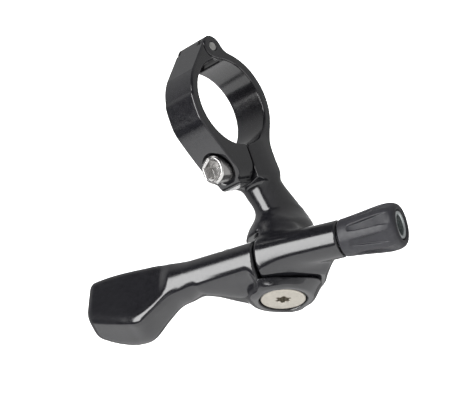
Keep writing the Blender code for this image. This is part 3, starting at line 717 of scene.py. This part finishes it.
def soft_plastic(name, color, light, roughness):
    """Moulded grip with a very fine matt grain."""
    made, tree, shader = new_material(name, color, roughness, Specular_IOR_Level=0.45)
    mix_color(tree, shader, spread(tree, noise(tree, 700, 3), 0.0, 1.0), color, light)
    tree.links.new(spread(tree, noise(tree, 1800, 2), roughness - 0.06, roughness + 0.08),
                   shader.inputs["Roughness"])
    add_bump(tree, shader, noise(tree, 6500, 2), 0.25, 0.00004)
    return made


BLACK_BODY = gloss_black("black_body_finish")
BLACK_STRAP = gloss_black("black_strap_finish")
BLACK_LEVER = gloss_black("black_lever_finish")
BOLT_STEEL = metal("bolt_steel_finish", (0.66, 0.65, 0.64), 0.20, 2600, 0.10)
PIN_STEEL = metal("pin_steel_finish", (0.60, 0.60, 0.58), 0.36, 2600, 0.15)
PIVOT_STEEL = metal("pivot_cap_finish", (0.56, 0.53, 0.47), 0.42, 3000, 0.12)
INNER_STEEL = metal("inner_steel_finish", (0.50, 0.50, 0.50), 0.35, 2000, 0.12)
RACE_STEEL = metal("race_steel_finish", (0.62, 0.62, 0.62), 0.16, 2000, 0.05)
BRASS = metal("cage_brass_finish", (0.55, 0.41, 0.19), 0.34, 1800, 0.12)
ALLOY = metal("barrel_alloy_finish", (0.58, 0.59, 0.61), 0.30, 2200, 0.12)
SILVER = metal("ferrule_silver_finish", (0.62, 0.66, 0.66), 0.34, 2400, 0.12)
KNOB_GREY = soft_plastic("knob_grey_finish", (0.024, 0.024, 0.029), (0.034, 0.034, 0.040), 0.44)
SEAL_BLACK = soft_plastic("seal_rubber_finish", (0.012, 0.012, 0.012), (0.022, 0.022, 0.022), 0.62)


# ---------------------------------------------------------------- pieces

PIECES = (
    ("body_forging", "main_body", "bracket", main_body_field, LARGE_STEP, BLACK_BODY, "black_body"),
    ("strap_forging", "clamp_strap", "strap", strap_field, STRAP_STEP, BLACK_STRAP, "black_strap"),
    ("lever_forging", "lever", "lever_arm", lever_field, LARGE_STEP, BLACK_LEVER, "black_lever"),
    ("socket_bolt", "clamp_bolt", "bolt", bolt_field, BOLT_STEP, BOLT_STEEL, "bolt_steel"),
    ("hinge_rivet", "hinge_pin", "bracket", pin_field, BOLT_STEP, PIN_STEEL, "pin_steel"),
    ("pivot_cap_bolt", "pivot_bolt", "lever_arm", pivot_bolt_field, SMALL_STEP, PIVOT_STEEL, "pivot_cap"),
    ("fluted_knob", "adjuster_knob", "adjuster", knob_field, KNOB_STEP, KNOB_GREY, "knob_grey"),
    ("ferrule_cup", "housing_ferrule", "adjuster", ferrule_field, FERRULE_STEP, SILVER, "ferrule_silver"),
)
for piece_facts in PIECES:
    make_piece(*piece_facts)

# The other nodes keep their CAD shape, with these materials by slot
CARRIED = {
    "inner_steel": INNER_STEEL,
    "race_steel": RACE_STEEL,
    "cage_brass": BRASS,
    "barrel_alloy": ALLOY,
    "seal_rubber": SEAL_BLACK,
}
replaced_nodes = {facts[1] for facts in PIECES}
for entry in frame["record"]["subparts"]:
    if entry["node"] not in replaced_nodes:
        for node_slot in frame["nodes"][entry["node"]].material_slots:
            node_slot.material = CARRIED[entry["material_slot"]]


# ---------------------------------------------------------------- stage, light and camera

def pale_white(name, glow):
    """Matt white that also glows, in place of the light it would get from the room."""
    made, tree, shader = new_material(name, (0.8, 0.8, 0.8), 0.9)
    shader.inputs["Emission Color"].default_value = (1.0, 1.0, 1.0, 1.0)
    shader.inputs["Emission Strength"].default_value = glow
    return made


def square(name, centre, facing, size, material):
    """A square sheet that faces along a direction."""
    mesh = bpy.data.meshes.new(name)
    h = size / 2
    mesh.from_pydata([(-h, -h, 0), (h, -h, 0), (h, h, 0), (-h, h, 0)], [], [(0, 1, 2, 3)])
    mesh.materials.append(material)
    made = bpy.data.objects.new(name, mesh)
    made.location = centre
    made.rotation_euler = Vector(facing).to_track_quat("Z", "Y").to_euler()
    bpy.context.scene.collection.objects.link(made)
    return made


camera_data = bpy.data.cameras.new("camera")
camera = bpy.data.objects.new("camera", camera_data)
bpy.context.scene.collection.objects.link(camera)
camera_data.lens = CAMERA_LENS
camera_data.sensor_width = SENSOR
camera_data.clip_start = 0.01
camera.location = CAMERA_PLACE
camera.rotation_euler = Euler([math.radians(angle) for angle in CAMERA_TURN], "XYZ")
bpy.context.scene.camera = camera

camera_axes = camera.rotation_euler.to_matrix()
RIGHT, UP, TOWARDS = (camera_axes.col[i].copy() for i in range(3))


def seen_from_camera(azimuth, elevation):
    """Direction from the object, by angles right of and above the way to the camera."""
    a, e = math.radians(azimuth), math.radians(elevation)
    return math.cos(e) * (math.sin(a) * RIGHT + math.cos(a) * TOWARDS) + math.sin(e) * UP


KEY_TOWARDS = unit(seen_from_camera(KEY_AZIMUTH, KEY_ELEVATION))
KEY_SIDE = unit(np.cross(UP, KEY_TOWARDS))
KEY_UP = np.cross(KEY_TOWARDS, KEY_SIDE)


def studio_world():
    """Grey room, paler below, with one tall softbox between dark flags."""
    world = bpy.data.worlds.new("studio")
    world.use_nodes = True
    tree = world.node_tree
    direction = tree.nodes.new("ShaderNodeTexCoord").outputs["Generated"]

    def combine(operation, a, b):
        made = tree.nodes.new("ShaderNodeMath")
        made.operation = operation
        for socket, value in zip(made.inputs, (a, b)):
            if isinstance(value, float):
                socket.default_value = value
            else:
                tree.links.new(value, socket)
        return made.outputs[0]

    def along(axis):
        made = tree.nodes.new("ShaderNodeVectorMath")
        made.operation = "DOT_PRODUCT"
        tree.links.new(direction, made.inputs[0])
        made.inputs[1].default_value = axis
        return made.outputs["Value"]

    def ramp(value, edge, at_low, at_high):
        made = tree.nodes.new("ShaderNodeMapRange")
        made.interpolation_type = "SMOOTHSTEP"
        settings = {"From Min": edge[0], "From Max": edge[1], "To Min": at_low, "To Max": at_high}
        for key, setting in settings.items():
            made.inputs[key].default_value = setting
        tree.links.new(value, made.inputs["Value"])
        return made.outputs["Result"]

    # How far a direction is from the softbox's middle: 1 at its edge, 9 more on the far side
    wide = combine("DIVIDE", combine("ABSOLUTE", along(KEY_SIDE), 0.0), KEY_HALF_WIDTH)
    tall = combine("DIVIDE", combine("ABSOLUTE", along(KEY_UP), 0.0), KEY_HALF_HEIGHT)
    behind = combine("MULTIPLY", combine("LESS_THAN", along(KEY_TOWARDS), 0.0), 9.0)
    reach = combine("ADD", combine("MAXIMUM", wide, tall), behind)

    box = ramp(reach, KEY_EDGE, KEY_STRENGTH, 0.0)
    past_flags = combine("MAXIMUM", ramp(reach, FLAG_EDGE, 0.0, 1.0), FLAG_LEAK)
    room = ramp(along((0.0, 0.0, 1.0)), ROOM_EDGE, ROOM_BELOW, ROOM_ABOVE)
    total = combine("ADD", combine("MULTIPLY", room, past_flags), box)
    tree.links.new(total, tree.nodes["Background"].inputs["Strength"])
    tree.nodes["Background"].inputs["Color"].default_value = (1.0, 1.0, 1.0, 1.0)
    return world


square("floor", FLOOR_CENTRE, (0, 0, 1), FLOOR_SIZE, pale_white("floor_white", FLOOR_GLOW))
square("backdrop", AIM - BACKDROP_AWAY * TOWARDS, TOWARDS, BACKDROP_SIZE,
                pale_white("backdrop_white", BACKDROP_GLOW))
bpy.context.scene.world = studio_world()
bpy.context.scene.view_settings.view_transform = "Standard"
